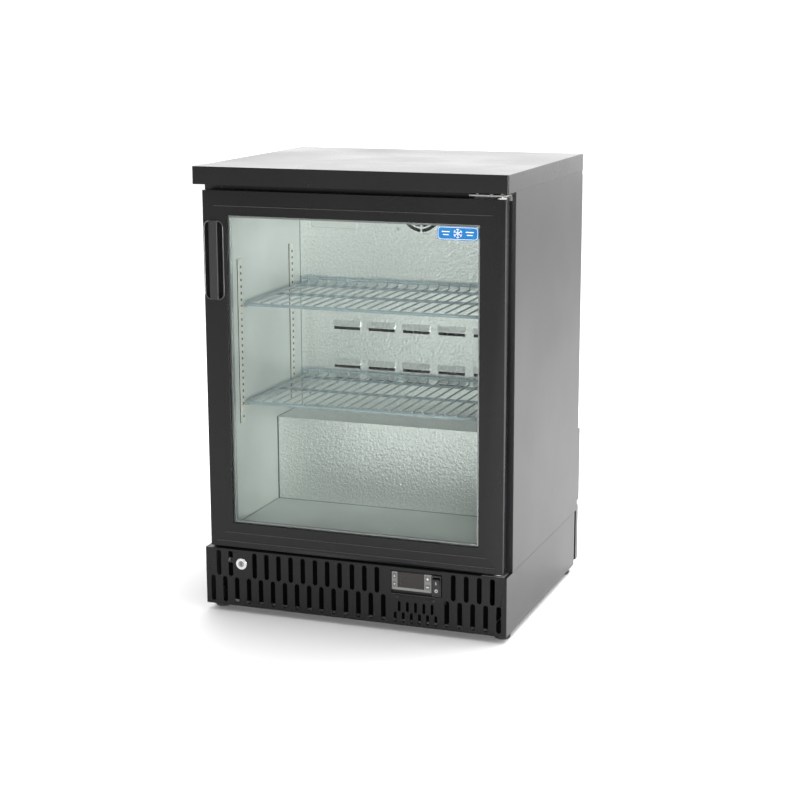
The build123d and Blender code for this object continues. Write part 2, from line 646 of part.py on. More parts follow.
def base_sides():
    """Side plates of the base, each with a bottom flange drilled for the feet."""
    outer = BODY_HALF_WIDTH
    rear = 222.0
    wall = block((outer - BASE_SHEET, outer), (BASE_FRONT, rear), (FLOOR_GAP, BASE_TOP))
    flange = block((outer - 40, outer), (-227.5, rear), (FLOOR_GAP, FLOOR_GAP + BASE_SHEET))
    side = wall + flange
    for y in FOOT_ROWS.values():
        side -= rod_z(STUD_RADIUS + RUNNING_CLEARANCE, FOOT_X, y, (FLOOR_GAP - 1, FLOOR_GAP + 3))
    save("base_side_right", side)
    save("base_side_left", mirrored(side))


def levelling_feet():
    """Adjustable feet: a moulded pad on a threaded stud."""
    for row, y in FOOT_ROWS.items():
        profile = [
            (0, 0), (13, 0), (15, 2), (15, 6.5), (9, 9.5), (9, FLOOR_GAP - 0.3),
            (STUD_RADIUS, FLOOR_GAP - 0.3), (STUD_RADIUS, 38), (3.2, 39), (0, 39),
        ]
        outline = Plane.XZ * make_face(Polyline(*profile, close=True))
        foot = Pos(FOOT_X, y, 0) * revolve(outline, Axis.Z)
        save(f"foot_{row}_right", foot)
        save(f"foot_{row}_left", mirrored(foot))


def base_pan():
    """Tray that carries the compressor, condenser and fan."""
    half = BODY_HALF_WIDTH - 41
    low = FLOOR_GAP + 0.2
    pan = block((-half, half), (-200, 236), (low, low + 1.5))
    pan += block((-half, half), (-200, -198.5), (low, low + 14))
    pan += block((-half, half), (234.5, 236), (low, low + 3))
    save("base_pan", pan)


def control_panel():
    """Plate behind the cut-out with the thermostat, its buttons and the switch."""
    plate = block((70, 182), CONTROL_PLATE_Y, (60, 121))
    bezel_x, bezel_z = (78.8, 155.4), (80.8, 114.8)
    body_x, body_z = (82.0, 152.0), (83.0, 112.6)
    switch_x, switch_z = (156.8, 174.2), (75.3, 114.6)
    plate -= block(body_x, CONTROL_PLATE_Y, body_z)
    plate -= block((switch_x[0] + 1, switch_x[1] - 1), CONTROL_PLATE_Y, (switch_z[0] + 1, switch_z[1] - 1))
    for x, z in CONTROL_SCREWS:
        plate -= rod_y(1.6, x, CONTROL_PLATE_Y, z)
    save("control_plate", plate)

    bezel_front = -246.6
    housing = block(bezel_x, (bezel_front, CONTROL_PLATE_Y[0]), bezel_z)
    housing = fillet(housing.edges().filter_by(Axis.Y), 1.2)
    housing += block(body_x, (CONTROL_PLATE_Y[0], -190), body_z)
    window = ((89.6, 142.0), (bezel_front, bezel_front + 1.4), (85.6, bezel_z[1]))
    housing -= block(*window)
    centres = {1: (84.2, 106.5), 2: (84.2, 91.0), 3: (148.6, 106.5), 4: (148.6, 91.0)}
    for number, (x, z) in centres.items():
        half_x = 3.2 if number < 3 else 4.4
        pocket = block((x - half_x - 0.25, x + half_x + 0.25), (bezel_front, bezel_front + 4.2),
                       (z - 5.05, z + 5.05))
        housing -= pocket
        button = block((x - half_x, x + half_x), (bezel_front - 0.7, bezel_front + 3.0), (z - 4.8, z + 4.8))
        button = fillet(button.faces().sort_by(Axis.Y)[0].edges(), 0.5)
        save(f"controller_button_{number}", button)
    save("controller_housing", housing)
    save("controller_display", block(*window))

    frame_front = -247.6
    switch_inner_x, switch_inner_z = (158.4, 172.6), (78.6, 111.4)
    frame = block(switch_x, (frame_front, CONTROL_PLATE_Y[0]), switch_z)
    frame += block((switch_x[0] + 1, switch_x[1] - 1), (CONTROL_PLATE_Y[0], -222),
                   (switch_z[0] + 1, switch_z[1] - 1))
    frame -= block(switch_inner_x, (frame_front, -226), switch_inner_z)
    save("switch_frame", frame)
    rocker_outline = [
        (-250.2, 14.6), (-248.4, 0), (-250.2, -14.6), (-244, -14.8), (-236, -9), (-234, 0),
        (-236, 9), (-244, 14.8),
    ]
    pivot_y, pivot_z = -240.0, 95.0
    rocker = prism_yz(
        [(y - pivot_y, z) for y, z in rocker_outline],
        (switch_inner_x[0] + 0.3, switch_inner_x[1] - 0.3),
    )
    save("power_rocker", Pos(0, pivot_y, pivot_z) * Rot(7, 0, 0) * rocker)


def door_lock():
    """Cam lock: fixed body, turning barrel with a key slot, and the cam."""
    front = BASE_FRONT - 2.2
    body = rod_y(9.4, LOCK_X, (BASE_FRONT, -236.5), LOCK_Z)
    rim = rod_y(11.2, LOCK_X, (front, BASE_FRONT), LOCK_Z)
    body += fillet(rim.edges().sort_by(Axis.Y)[0], 1.2)
    bore = rod_y(6.0 + RUNNING_CLEARANCE, LOCK_X, (front - 1, -236), LOCK_Z)
    save("lock_body", body - bore)
    barrel = rod_y(6.0, LOCK_X, (front - 0.3, -232), LOCK_Z)
    key_slot = block((LOCK_X - 0.9, LOCK_X + 0.9), (front - 1, front + 8), (LOCK_Z - 4.2, LOCK_Z + 4.2))
    save("lock_barrel", barrel - key_slot)
    cam = block((LOCK_X - 30, LOCK_X), (-232, -229.8), (LOCK_Z - 5, LOCK_Z + 5))
    cam += rod_y(5.0, LOCK_X - 30, (-232, -229.8), LOCK_Z)
    cam += rod_y(8.0, LOCK_X, (-232, -229.8), LOCK_Z)
    save("lock_cam", cam)


# ---------------------------------------------------------------- rear covers and machinery
REAR_HALF = 297.0
VENT_PITCH = 18.0


def rear_cover(name, y, z):
    """Shallow pan with a field of upright vent slots."""
    outer = block((-REAR_HALF, REAR_HALF), y, z)
    hollow = block(
        (-REAR_HALF + SHEET, REAR_HALF - SHEET), (y[0], y[1] - SHEET), (z[0] + SHEET, z[1] - SHEET),
    )
    count = 27
    height = z[1] - z[0] - 50
    middle = (z[0] + z[1]) / 2
    slots = Sketch() + [
        upright_slot((index - (count - 1) / 2) * VENT_PITCH, (middle - height / 2, middle + height / 2), 6.0)
        for index in range(count)
    ]
    vents = slab_xz(slots, (y[1] - 2 * SHEET, y[1] + 1))
    pan = outer - hollow - vents
    if name == "rear_cover_lower":
        pan -= rod_y(6.0, -258, (y[1] - 5, y[1] + 1), 60)
    save(name, pan)


def rear_covers():
    """Removable covers of the compressor compartment, and the cable gland."""
    rear_cover("rear_cover_upper", (BODY_BACK, BACK), (141.0, 290.0))
    rear_cover("rear_cover_lower", (BODY_BACK, BACK - 4), (17.0, 131.0))
    gland = rod_y(10.0, -258, (BACK - 4, BACK - 0.5), 60)
    gland += rod_y(6.0, -258, (BACK - 9, BACK - 4), 60)
    gland += rod_y(8.0, -258, (BACK - 9, BACK - 5), 60)
    save("cable_gland", gland - rod_y(3.8, -258, (200, 300), 60))


COMPRESSOR = (150.0, 148.0)
SHELL_RADIUS = 62.0
SHELL_LOW = 30.0
SHELL_HIGH = 196.0


def compressor():
    """Hermetic compressor on a foot plate, with rubber grommets under it."""
    x, y = COMPRESSOR
    shell = rod_z(SHELL_RADIUS, x, y, (SHELL_LOW, SHELL_HIGH))
    shell = fillet(shell.edges(), 30.0)
    weld = rod_z(SHELL_RADIUS + 2.5, x, y, (118, 123))
    plate_z = (27.0, 30.5)
    plate = block((x - 82, x + 82), (y - 60, y + 60), plate_z)
    terminal = block((x - 84, x - 50), (y - 22, y + 22), (92, 140))
    stubs = [rod_z(4.5, x + 30, y - 30, (150, 214)), rod_z(3.5, x - 30, y - 32, (150, 214))]
    corners = [(x + i * 72, y + j * 50) for i in (-1, 1) for j in (-1, 1)]
    body = shell.fuse(weld, plate, terminal, *stubs)
    for cx, cy in corners:
        body -= rod_z(6.0, cx, cy, (20, 40))
    save("compressor", body)
    pan_top = FLOOR_GAP + 1.7
    grommets = []
    for cx, cy in corners:
        grommets.append(rod_z(9.0, cx, cy, (pan_top, plate_z[0])) + rod_z(6.0, cx, cy, (plate_z[0], 34)))
    save("compressor_grommets", *grommets)


def condenser():
    """Fin and tube condenser across the compartment's left end."""
    x = (-240.0, -196.0)
    y = (52.0, 228.0)
    pan_top = FLOOR_GAP + 1.7
    low, high = pan_top, 246.0
    fins = []
    for index in range(16):
        z = low + 12 + 14.4 * index
        fins.append(block(x, y, (z, z + 0.8)))
    for wall in y:
        fins.append(block(x, (wall - 1, wall + 1), (low, high)))
    tubes = []
    for row in range(7):
        z = low + 22 + 32 * row
        for column in (-229.0, -207.0):
            tubes.append(rod_y(4.8, column, (y[0] - 8, y[1] + 8), z))
    save("condenser", fins[0].fuse(*fins[1:], *tubes))


def condenser_fan():
    """Fan that draws air through the condenser and over the compressor."""
    y, z = CONDENSER_FAN
    along_x = Rot(0, 90, 0)
    rotor_left = -186.0
    rotor = fan_rotor(82.0, 20.0, 22.0, 12.0)
    save("condenser_fan", Pos(rotor_left, y, z) * along_x * rotor)
    motor_left = rotor_left + 27
    motor = fan_motor(32.0, 42.0, 88.0, motor_left + 4.5 + 196)
    save("condenser_fan_motor", Pos(motor_left, y, z) * along_x * motor)


def refrigerant_circuit():
    """Suction and discharge tubes, and the filter drier."""
    x, y = COMPRESSOR
    suction = bent_wire([
        (x + 30, y - 30, 214), (x + 30, y - 30, 262), (DUCT[0] + 4, 163, 262),
        (DUCT[0] + 4, 163, 615), (206, 163, 615),
    ], 14, 4.5)
    discharge = bent_wire([
        (x - 30, y - 32, 214), (x - 30, y - 32, 252), (-218, y - 32, 252), (-218, 44, 252), (-218, 44, 228),
    ], 12, 3.5)
    outline = [(0, 0), (2.2, 0), (2.2, 12), (9, 22), (9, 88), (2.2, 98), (2.2, 110), (0, 110)]
    drier = revolve(Plane.XZ * make_face(Polyline(*outline, close=True)), Axis.Z)
    save("refrigerant_circuit", suction, discharge, Pos(-20, 60, 60) * Rot(0, 60, 0) * drier)


# ---------------------------------------------------------------- fasteners
def screw(x, y, z):
    """Pan-head screw with a cross recess, facing the front."""
    head = rod_y(3.4, x, (y - 1.8, y), z)
    head = fillet(head.edges().sort_by(Axis.Y)[0], 1.2)
    shank = rod_y(1.5, x, (y, y + 6), z)
    cross = block((x - 0.4, x + 0.4), (y - 2, y - 1), (z - 1.8, z + 1.8))
    cross += block((x - 1.8, x + 1.8), (y - 2, y - 1), (z - 0.4, z + 0.4))
    return head + shank - cross


def panel_screws():
    """Screws of the control plate."""
    save("panel_screws", *[screw(x, BASE_FRONT, z) for x, z in CONTROL_SCREWS])


def main():
    os.makedirs("parts", exist_ok=True)
    worktop()
    side_panels()
    top_and_bottom_panels()
    back_panel()
    insulation()
    liner()
    breaker_frame()
    evaporator_cover()
    evaporator_coil()
    drip_tray()
    evaporator_fan()
    interior_lamp()
    pilasters()
    shelf_clips()
    for name, height in SHELF_HEIGHTS.items():
        shelf(name, height)
    door_frame()
    glazing()
    door_gasket()
    handle()
    hinges()
    base_front_grille()
    base_sides()
    levelling_feet()
    base_pan()
    control_panel()
    door_lock()
    rear_covers()
    compressor()
    condenser()
    condenser_fan()
    refrigerant_circuit()
    panel_screws()


main()
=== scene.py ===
"""Looks of the undercounter refrigerator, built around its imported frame. Metres, Z up."""

import json
import math

import bmesh
import bpy
from mathutils import Matrix, Vector


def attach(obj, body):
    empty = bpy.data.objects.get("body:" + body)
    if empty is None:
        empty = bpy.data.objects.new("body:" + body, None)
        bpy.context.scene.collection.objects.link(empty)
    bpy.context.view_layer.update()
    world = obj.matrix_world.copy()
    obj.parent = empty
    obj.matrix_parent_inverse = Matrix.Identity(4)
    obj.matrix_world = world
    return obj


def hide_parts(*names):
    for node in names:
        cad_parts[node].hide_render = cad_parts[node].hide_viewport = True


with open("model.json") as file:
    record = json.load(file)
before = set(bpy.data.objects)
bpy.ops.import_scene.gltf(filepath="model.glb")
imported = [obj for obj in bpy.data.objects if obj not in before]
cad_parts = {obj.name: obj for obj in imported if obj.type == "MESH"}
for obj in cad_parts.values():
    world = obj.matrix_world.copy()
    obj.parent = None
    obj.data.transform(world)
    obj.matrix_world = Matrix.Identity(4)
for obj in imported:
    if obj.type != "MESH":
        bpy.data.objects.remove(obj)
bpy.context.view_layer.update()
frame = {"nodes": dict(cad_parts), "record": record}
NODES = frame["nodes"]
MM = 0.001

# ---------------------------------------------------------------- camera, lights and floor
CAMERA_PLACE = (1.197, -3.213, 1.121)
CAMERA_YAW = math.radians(20.31)
CAMERA_PITCH = math.radians(90 - 12.25)
CAMERA_ROLL = math.radians(-0.21)
CAMERA_LENS = 81.3
SURROUND_IN_FRONT = 0.45    # strength of the surround, dim ahead of the door
SURROUND_BEHIND = 2.1       # and bright behind, where the worktop and side mirror it
FLOOR_REACH = 9.0


def camera():
    """Camera at the right front, a little above the worktop."""
    data = bpy.data.cameras.new("camera")
    data.lens = CAMERA_LENS
    data.sensor_width = 36.0
    data.shift_x = -0.002
    data.shift_y = 0.002
    item = bpy.data.objects.new("camera", data)
    turn = (
        Matrix.Rotation(CAMERA_YAW, 4, "Z") @ Matrix.Rotation(CAMERA_PITCH, 4, "X")
        @ Matrix.Rotation(CAMERA_ROLL, 4, "Z")
    )
    item.matrix_world = Matrix.Translation(CAMERA_PLACE) @ turn
    bpy.context.collection.objects.link(item)
    bpy.context.scene.camera = item


def soft_light(name, place, target, size, power):
    """Rectangular studio light aimed at a point."""
    data = bpy.data.lights.new(name, "AREA")
    data.shape = "RECTANGLE"
    data.size, data.size_y = size
    data.energy = power
    item = bpy.data.objects.new(name, data)
    item.location = place
    item.rotation_euler = (Vector(target) - Vector(place)).to_track_quat("-Z", "Y").to_euler()
    item.visible_camera = False
    bpy.context.collection.objects.link(item)


def studio():
    """White floor under a white surround that is brighter behind than in front."""
    world = bpy.data.worlds.new("surround")
    world.use_nodes = True
    tree = world.node_tree
    background = tree.nodes["Background"]
    background.inputs["Color"].default_value = (1, 1, 1, 1)
    direction = tree.nodes.new("ShaderNodeTexCoord").outputs["Generated"]
    axes = tree.nodes.new("ShaderNodeSeparateXYZ")
    depth = tree.nodes.new("ShaderNodeMapRange")
    depth.inputs["From Min"].default_value = -0.6
    depth.inputs["From Max"].default_value = 0.9
    depth.inputs["To Min"].default_value = SURROUND_IN_FRONT
    depth.inputs["To Max"].default_value = SURROUND_BEHIND
    tree.links.new(direction, axes.inputs["Vector"])
    tree.links.new(axes.outputs["Y"], depth.inputs["Value"])
    tree.links.new(depth.outputs["Result"], background.inputs["Strength"])
    bpy.context.scene.world = world
    bpy.context.scene.view_settings.view_transform = "Standard"

    soft_light("overhead", (1.2, 1.2, 3.4), (1.0, 0.9, 0), (3.6, 3.6), 170)
    soft_light("low_fill", (1.8, -2.9, 0.66), (-0.05, 0.0, 0.46), (1.8, 0.34), 76)
    soft_light("cavity_light", (0.0, -0.04, 0.765), (0.0, -0.04, 0.0), (0.44, 0.2), 0.3)

    mesh = bpy.data.meshes.new("floor")
    corners = [(x * FLOOR_REACH, y * FLOOR_REACH, 0) for x, y in ((-1, -1), (1, -1), (1, 1), (-1, 1))]
    mesh.from_pydata(corners, [], [(0, 1, 2, 3)])
    floor = bpy.data.objects.new("floor", mesh)
    bpy.context.collection.objects.link(floor)
    paint = Shader("floor_white", (0.9, 0.9, 0.9), roughness=0.6)
    mesh.materials.append(paint.material)


# ---------------------------------------------------------------- materials
class Shader:
    """A Principled material with short calls for the nodes that feed it."""

    def __init__(self, name, colour, roughness=0.5, metallic=0.0, **sockets):
        self.material = bpy.data.materials.new(name)
        self.material.use_nodes = True
        self.tree = self.material.node_tree
        self.principled = self.tree.nodes["Principled BSDF"]
        self.position = self.add("ShaderNodeTexCoord").outputs["Object"]
        self.set("Base Color", (*colour, 1.0))
        self.set("Roughness", roughness)
        self.set("Metallic", metallic)
        for socket, value in sockets.items():
            self.set(socket.replace("_", " "), value)

    def add(self, kind, **settings):
        node = self.tree.nodes.new(kind)
        for key, value in settings.items():
            setattr(node, key, value)
        return node

    def set(self, socket, value):
        self.principled.inputs[socket].default_value = value

    def link(self, output, socket):
        self.tree.links.new(output, socket)

    def noise(self, scale, detail=2.0, stretch=(1, 1, 1)):
        """Noise over the object's own position, in cells per metre."""
        mapping = self.add("ShaderNodeMapping")
        mapping.inputs["Scale"].default_value = stretch
        self.link(self.position, mapping.inputs["Vector"])
        node = self.add("ShaderNodeTexNoise")
        node.inputs["Scale"].default_value = scale
        node.inputs["Detail"].default_value = detail
        self.link(mapping.outputs["Vector"], node.inputs["Vector"])
        return node.outputs["Fac"]

    def cells(self, scale):
        """Smooth Voronoi distance over the object's own position."""
        node = self.add("ShaderNodeTexVoronoi", feature="SMOOTH_F1")
        node.inputs["Scale"].default_value = scale
        self.link(self.position, node.inputs["Vector"])
        return node.outputs["Distance"]

    def spread(self, value, low, high, start=0.3, end=0.7):
        """Map a factor to a range of numbers."""
        node = self.add("ShaderNodeMapRange")
        node.inputs["From Min"].default_value = start
        node.inputs["From Max"].default_value = end
        node.inputs["To Min"].default_value = low
        node.inputs["To Max"].default_value = high
        self.link(value, node.inputs["Value"])
        return node.outputs["Result"]

    def sum(self, first, second, weight=1.0):
        """first + weight * second."""
        node = self.add("ShaderNodeMath", operation="MULTIPLY_ADD")
        self.link(second, node.inputs[0])
        node.inputs[1].default_value = weight
        self.link(first, node.inputs[2])
        return node.outputs["Value"]

    def tint(self, value, dark, light):
        """Base colour that runs from dark to light with a factor."""
        node = self.add("ShaderNodeMix", data_type="RGBA")
        node.inputs["A"].default_value = (*dark, 1.0)
        node.inputs["B"].default_value = (*light, 1.0)
        self.link(value, node.inputs["Factor"])
        self.link(node.outputs["Result"], self.principled.inputs["Base Color"])
        return self

    def rough(self, value, low, high):
        """Roughness that varies between two values."""
        self.link(self.spread(value, low, high), self.principled.inputs["Roughness"])
        return self

    def bump(self, height, depth, strength=1.0):
        """Bump from a height factor, with depth in metres."""
        node = self.add("ShaderNodeBump")
        node.inputs["Strength"].default_value = strength
        node.inputs["Distance"].default_value = depth
        self.link(height, node.inputs["Height"])
        self.link(node.outputs["Normal"], self.principled.inputs["Normal"])
        return self


def mixed_tone(colour, amount):
    """A darker and a lighter neighbour of a colour."""
    return [c * (1 - amount) for c in colour], [min(1.0, c * (1 + amount)) for c in colour]


def enamel(name, colour, low=0.28, high=0.34, ior=1.42):
    """Coil-coated steel sheet: fine orange peel, slow waves and faint smears."""
    shader = Shader(name, colour, IOR=ior)
    smears = shader.noise(5.0, 4.0)
    shader.rough(smears, low, high)
    shader.tint(shader.spread(smears, 0, 1), *mixed_tone(colour, 0.15))
    peel = shader.noise(700.0, 2.0)
    waves = shader.noise(3.2, 1.0)
    shader.bump(shader.sum(waves, peel, 0.03), 0.0012, 0.3)
    return shader.material


def moulded(name, colour, low=0.35, high=0.5, grain=900.0, depth=0.00006, **sockets):
    """Moulded plastic with a fine spark-eroded grain."""
    shader = Shader(name, colour, **sockets)
    shader.rough(shader.noise(14.0, 4.0), low, high)
    shader.tint(shader.noise(40.0, 3.0), *mixed_tone(colour, 0.1))
    shader.bump(shader.noise(grain, 2.0), depth, 0.6)
    return shader.material


def metal(name, colour, low, high, grain=500.0, depth=0.00003):
    """Bare or plated metal with a fine grain; low and high bound its roughness."""
    shader = Shader(name, colour, metallic=1.0)
    grain_value = shader.noise(grain, 3.0)
    shader.rough(grain_value, low, high)
    shader.tint(shader.noise(9.0, 4.0), *mixed_tone(colour, 0.08))
    shader.bump(grain_value, depth, 0.5)
    return shader.material


def stucco(name, colour):
    """Stucco-embossed aluminium: small irregular pebbles with soft valleys."""
    shader = Shader(name, colour, metallic=0.85)
    pebbles = shader.cells(165.0)
    grain = shader.noise(240.0, 1.0)
    drift = shader.noise(3.0, 2.0)
    shader.rough(drift, 0.28, 0.36)
    shader.tint(shader.spread(grain, 0, 1), *mixed_tone(colour, 0.1))
    shader.bump(shader.sum(grain, pebbles, -0.8), 0.0009, 1.0)
    return shader.material


def galvanised(name, colour):
    """Hot-dip zinc: patchwork of dull crystals over faint rolling lines."""
    shader = Shader(name, colour, metallic=0.9)
    patches = shader.add("ShaderNodeTexVoronoi")
    patches.inputs["Scale"].default_value = 85.0
    shader.link(shader.position, patches.inputs["Vector"])
    crystals = patches.outputs["Color"]
    clouds = shader.noise(6.0, 4.0)
    rolling = shader.noise(120.0, 2.0, (1, 1, 0.04))
    mixed = shader.sum(shader.sum(crystals, clouds, 0.6), rolling, 0.3)
    shader.tint(shader.spread(mixed, 0, 1, 0.3, 1.6), *mixed_tone(colour, 0.28))
    shader.rough(crystals, 0.38, 0.55)
    shader.bump(rolling, 0.0001, 0.4)
    return shader.material


def foam(name, colour):
    """Rigid foam with open cells."""
    shader = Shader(name, colour, roughness=0.9)
    shader.tint(shader.noise(25.0, 5.0), *mixed_tone(colour, 0.2))
    shader.bump(shader.cells(500.0), 0.001, 0.8)
    return shader.material


def pane(name, tint, mirror_ior):
    """Clear pane: tinted see-through with a weak mirror on top."""
    shader = Shader(name, tint)
    tree = shader.tree
    tree.nodes.remove(shader.principled)
    clear = shader.add("ShaderNodeBsdfTransparent")
    clear.inputs["Color"].default_value = (*tint, 1.0)
    gloss = shader.add("ShaderNodeBsdfGlossy")
    gloss.inputs["Roughness"].default_value = 0.03
    fresnel = shader.add("ShaderNodeFresnel")
    fresnel.inputs["IOR"].default_value = mirror_ior
    blend = shader.add("ShaderNodeMixShader")
    shader.link(fresnel.outputs["Fac"], blend.inputs["Fac"])
    shader.link(clear.outputs["BSDF"], blend.inputs[1])
    shader.link(gloss.outputs["BSDF"], blend.inputs[2])
    shader.link(blend.outputs["Shader"], tree.nodes["Material Output"].inputs["Surface"])
    return shader.material


# The record's slots come first, then the finishes that only this script uses
MATERIALS = {
    "black_steel": enamel("black_steel", (0.010, 0.010, 0.011)),
    "worktop_steel": enamel("worktop_steel", (0.005, 0.005, 0.0055), 0.24, 0.32),
    "galvanised_steel": galvanised("galvanised_steel", (0.20, 0.205, 0.21)),
    "core_board": moulded("core_board", (0.035, 0.030, 0.027), 0.7, 0.9, 300.0, 0.0003),
    "foam": foam("foam", (0.80, 0.66, 0.36)),
    "liner_sheet": enamel("liner_sheet", (0.66, 0.69, 0.67), 0.3, 0.4),
    "embossed_aluminium": stucco("embossed_aluminium", (0.90, 0.92, 0.90)),
    "breaker_plastic": moulded("breaker_plastic", (0.02, 0.02, 0.02)),
    "coil_aluminium": metal("coil_aluminium", (0.70, 0.71, 0.72), 0.3, 0.45),
    "white_plastic": moulded("white_plastic", (0.66, 0.68, 0.66), 0.35, 0.45),
    "black_plastic": moulded("black_plastic", (0.014, 0.014, 0.014), 0.38, 0.5),
    "motor_steel": enamel("motor_steel", (0.02, 0.02, 0.021), 0.3, 0.45),
    "zinc_plate": metal("zinc_plate", (0.66, 0.67, 0.68), 0.22, 0.36),
    "coated_wire": moulded("coated_wire", (0.38, 0.46, 0.49), 0.25, 0.35, 400.0, 0.00005),
    "door_profile": enamel("door_profile", (0.007, 0.007, 0.0075), 0.24, 0.32, 1.34),
    "glass": pane("glass", (0.95, 0.962, 0.955), 1.22),
    "spacer_aluminium": metal("spacer_aluminium", (0.30, 0.31, 0.31), 0.3, 0.4, 800.0),
    "gasket_rubber": moulded("gasket_rubber", (0.012, 0.012, 0.012), 0.5, 0.65, 700.0, 0.00005),
    "handle_plastic": moulded("handle_plastic", (0.016, 0.016, 0.016), 0.3, 0.4, 1000.0, 0.00004),
    "nylon": moulded("nylon", (0.72, 0.72, 0.69), 0.35, 0.45),
    "chrome": metal("chrome", (0.66, 0.66, 0.67), 0.14, 0.22, 300.0, 0.00001),
    "silver_plastic": moulded("silver_plastic", (0.17, 0.175, 0.165), 0.3, 0.42),
    "display_window": moulded("display_window", (0.014, 0.009, 0.009), 0.06, 0.12, 50.0, 0.00001),
    "grommet_rubber": moulded("grommet_rubber", (0.02, 0.02, 0.02), 0.6, 0.75),
    "copper": metal("copper", (0.72, 0.38, 0.24), 0.2, 0.35),
    "front_steel": enamel("front_steel", (0.007, 0.007, 0.0075), 0.28, 0.38, 1.34),
    "strip_zinc": enamel("strip_zinc", (0.76, 0.75, 0.70), 0.3, 0.4, 1.6),
    "dull_plate": metal("dull_plate", (0.34, 0.34, 0.33), 0.38, 0.5),
    "dark_screw": metal("dark_screw", (0.05, 0.05, 0.05), 0.3, 0.4),
    # Painted highlight: a lighter, more reflective copy of the black profile for the rail beads and the
    # cut-out edge
    "bead_highlight_paint": enamel("bead_highlight_paint", (0.03, 0.03, 0.03), 0.2, 0.28, 1.6),
    "sealant": moulded("sealant", (0.30, 0.31, 0.31), 0.5, 0.6),
    # Painted shade: near-black finish for the dark lines beside the strips and the clip slot mouths
    "shade_paint": moulded("shade_paint", (0.05, 0.05, 0.045), 0.5, 0.6),
    # Painted shade: near-black, barely reflecting finish for the baffle behind the front slots
    "baffle_shade": moulded("baffle_shade", (0.003, 0.003, 0.003), 0.85, 0.95, 350.0, 0.0006, IOR=1.15),
    "button_grey": moulded("button_grey", (0.11, 0.11, 0.105), 0.35, 0.45),
    # Painted glint: a lighter, more reflective copy of the handle plastic for the rim
    "rim_glint_paint": enamel("rim_glint_paint", (0.05, 0.05, 0.05), 0.16, 0.22, 2.0),
    "label_blue": moulded("label_blue", (0.004, 0.15, 0.40), 0.2, 0.3, 60.0, 0.00001),
    "label_white": moulded("label_white", (0.78, 0.80, 0.82), 0.25, 0.35, 60.0, 0.00001),
    "mark_white": moulded("mark_white", (0.55, 0.55, 0.53), 0.4, 0.5),
    "mark_dark": moulded("mark_dark", (0.03, 0.03, 0.03), 0.4, 0.5),
}


def dress(node, material):
    """Give a carried-over CAD node its finish."""
    mesh = NODES[node].data
    if not mesh.materials:
        mesh.materials.append(material)
    for slot in NODES[node].material_slots:
        slot.material = material


def weld(item):
    """Join the points that a CAD mesh repeats along its edges."""
    modifier = item.modifiers.new("weld", "WELD")
    modifier.merge_threshold = 0.01 * MM


def soften(node, width):
    """Break a CAD node's sharp edges with a small radius."""
    item = NODES[node]
    weld(item)
    bevel = item.modifiers.new("bevel", "BEVEL")
    bevel.width = width
    bevel.segments = 2
    bevel.limit_method = "ANGLE"
    bevel.angle_limit = math.radians(40)
    bevel.use_clamp_overlap = True
    normals = item.modifiers.new("normals", "WEIGHTED_NORMAL")
    normals.keep_sharp = False


def flatten(node):
    """Keep a sheet node's flat faces evenly shaded right up to its cut-outs."""
    item = NODES[node]
    weld(item)
    split = item.modifiers.new("split", "EDGE_SPLIT")
    split.split_angle = math.radians(20)
    item.modifiers.new("normals", "WEIGHTED_NORMAL")


# Nodes whose finish differs from their slot's
OWN_FINISH = {
    # Painted shade: base_pan and bottom_panel are black instead of galvanised so the base compartment behind
    # the slots reads dark
    "base_pan": "black_steel",
    "base_front_grille": "front_steel",
    "bottom_panel": "black_steel",
    "shelf_pilasters": "strip_zinc",
    "shelf_clips": "strip_zinc",
    "hinge_plates": "dull_plate",
    "hinge_pins": "dull_plate",
    "lock_barrel": "dull_plate",
    "panel_screws": "dark_screw",
}
OWN_FINISH.update({f"controller_button_{number}": "button_grey" for number in (1, 2, 3, 4)})
# Edge radius of the nodes whose edges show, in millimetres
SOFT_EDGES = {
    "worktop": 1.2, "side_panel_left": 0.7, "side_panel_right": 0.7, "door_frame": 0.5, "handle": 0.9,
    "base_front_grille": 0.35, "base_side_left": 0.5, "base_side_right": 0.5, "liner_step": 0.8,
    "rear_cover_upper": 0.6, "rear_cover_lower": 0.6, "switch_frame": 0.4,
    "power_rocker": 0.4, "controller_housing": 0.25, "hinge_plates": 0.4, "back_panel": 0.4,
    "interior_lamp": 0.4, "cable_gland": 0.6, "drip_tray": 0.4, "glass_outer": 0.5, "glass_inner": 0.5,
}


def dress_all():
    """Finish every CAD node and ease the edges of the ones that show."""
    for part in frame["record"]["subparts"]:
        finish = OWN_FINISH.get(part["node"], part["material_slot"])
        dress(part["node"], MATERIALS[finish])
    for node, width in SOFT_EDGES.items():
        soften(node, width * MM)
    flatten("evaporator_cover")


